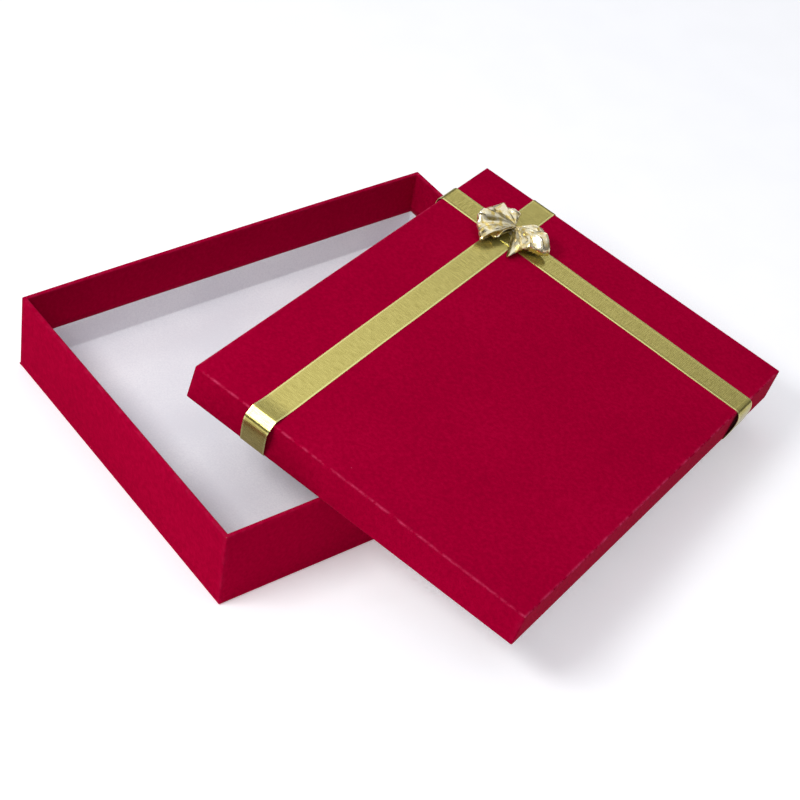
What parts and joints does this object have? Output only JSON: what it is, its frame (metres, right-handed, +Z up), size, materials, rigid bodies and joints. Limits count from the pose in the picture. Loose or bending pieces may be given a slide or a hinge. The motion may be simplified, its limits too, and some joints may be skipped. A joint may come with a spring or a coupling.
{
  "type": "gift box",
  "caption": "Rectangular rigid gift box: open tray with white lining, shallow lift-off lid leaning over one corner, crossed ribbons and a foil bow.",
  "frame": {"origin": "middle of the tray's underside, on the surface that the box stands on", "axes": "+Z up, +Y along the tray's long side, +X along its short side, towards the side that the lid leans over"},
  "size_m": [0.3613, 0.3959, 0.0935],
  "materials": {
    "wrap": "fine-grained matt, dyed crimson",
    "liner": "smooth matt white",
    "board": "raw greyboard",
    "stay_tape": "kraft paper tape",
    "ribbon": "woven, ribbed, with lighter selvedges",
    "bow_foil": "creased metallised film, pale gold",
    "glue": "dried hot-melt glue"
  },
  "bodies": {
    "tray": {"tray_base_wrap": "wrap", "tray_base_board": "board", "tray_wall_left": "board", "tray_wall_right": "board", "tray_wall_front": "board", "tray_wall_back": "board", "tray_corner_stays": "stay_tape", "tray_wrap": "wrap", "tray_floor_liner": "liner", "tray_wall_liner": "liner"},
    "lid": {"lid_top_wrap": "wrap", "lid_top_board": "board", "lid_skirt_left": "board", "lid_skirt_right": "board", "lid_skirt_front": "board", "lid_skirt_back": "board", "lid_corner_stays": "stay_tape", "lid_wrap": "wrap", "lid_liner": "liner", "ribbon_long": "ribbon", "ribbon_short": "ribbon", "bow_loop_left": "bow_foil", "bow_loop_right": "bow_foil", "bow_neck": "bow_foil", "bow_glue_dot": "glue"}
  },
  "joints": [
    {"name": "lid_lift", "type": "slide", "parent": "tray", "child": "lid", "axis": [0, 0, 1], "range_m": [0, 0.12]}
  ]
}
